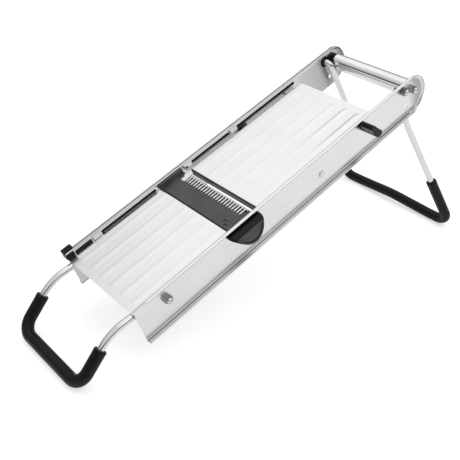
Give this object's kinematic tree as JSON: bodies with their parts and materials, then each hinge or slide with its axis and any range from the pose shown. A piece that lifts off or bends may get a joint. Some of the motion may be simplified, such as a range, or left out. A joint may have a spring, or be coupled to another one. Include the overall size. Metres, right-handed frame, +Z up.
{
  "type": "mandoline slicer",
  "caption": "Folding stainless mandoline slicer with a ribbed tilting ramp, slide-out blade cartridge, tube grip, folding rear leg and front handle",
  "frame": {"origin": "on the table, under the middle of the bounding box", "axes": "+X runs level from the front handle to the raised rear end, +Y points to the left rail, away from the knob side, +Z is up; the slicer stands open on both sleeves"},
  "size_m": [0.5192, 0.1762, 0.2065],
  "materials": {
    "polished_steel": "polished stainless sheet",
    "rod_steel": "bright bent stainless rod",
    "blade_steel": "ground blade steel",
    "black_plastic": "moulded black plastic",
    "strip_plastic": "matt black strip",
    "rubber_sleeve": "matt black rubber sleeve",
    "fastener_steel": "bright zinc steel fastener",
    "washer_plastic": "black washer"
  },
  "bodies": {
    "frame": {"left_rail": "polished_steel", "right_rail": "polished_steel", "landing_plate": "polished_steel", "ramp_pins": "fastener_steel", "grip_tube": "rod_steel", "grip_plugs": "black_plastic", "grip_tie_rod": "fastener_steel", "grip_nuts": "fastener_steel", "handle_bolts": "fastener_steel", "handle_nuts": "fastener_steel", "left_runner_strips": "strip_plastic", "right_runner_strips": "strip_plastic", "strip_clips": "polished_steel", "rail_end_stop": "strip_plastic"},
    "ramp": {"ramp_plate": "polished_steel"},
    "lever": {"cam_shaft": "fastener_steel", "thickness_lever": "black_plastic"},
    "rear_leg": {"leg_rod": "rod_steel", "leg_sleeve": "rubber_sleeve", "leg_nuts": "fastener_steel", "leg_washers": "washer_plastic"},
    "front_handle": {"handle_rod": "rod_steel", "handle_sleeve": "rubber_sleeve", "handle_washers": "washer_plastic"},
    "cartridge": {"cartridge_body": "black_plastic", "cartridge_knob": "black_plastic", "straight_blade": "blade_steel", "julienne_comb": "blade_steel"}
  },
  "joints": [
    {"name": "rear_leg_fold", "type": "hinge", "parent": "frame", "child": "rear_leg", "pos_m": [0.14375, 0, 0.19205], "axis": [0, 1, 0], "range_deg": [0, 75]},
    {"name": "front_handle_fold", "type": "hinge", "parent": "frame", "child": "front_handle", "pos_m": [-0.1643, 0, 0.06467], "axis": [0, -1, 0], "range_deg": [0, 150]},
    {"name": "thickness_lever_turn", "type": "hinge", "parent": "frame", "child": "lever", "pos_m": [0.08658, 0, 0.16584], "axis": [0, 1, 0], "range_deg": [0, 84]},
    {"name": "ramp_tilt", "type": "hinge", "parent": "frame", "child": "ramp", "pos_m": [0.02903, 0, 0.12907], "axis": [0, -1, 0], "range_deg": [0, 4.2]},
    {"name": "cartridge_slide", "type": "slide", "parent": "frame", "child": "cartridge", "axis": [0, -1, 0], "range_m": [0, 0.12]}
  ],
  "couplings": [
    {"joint": "ramp_tilt", "follows": "thickness_lever_turn", "ratio": 0.05}
  ]
}
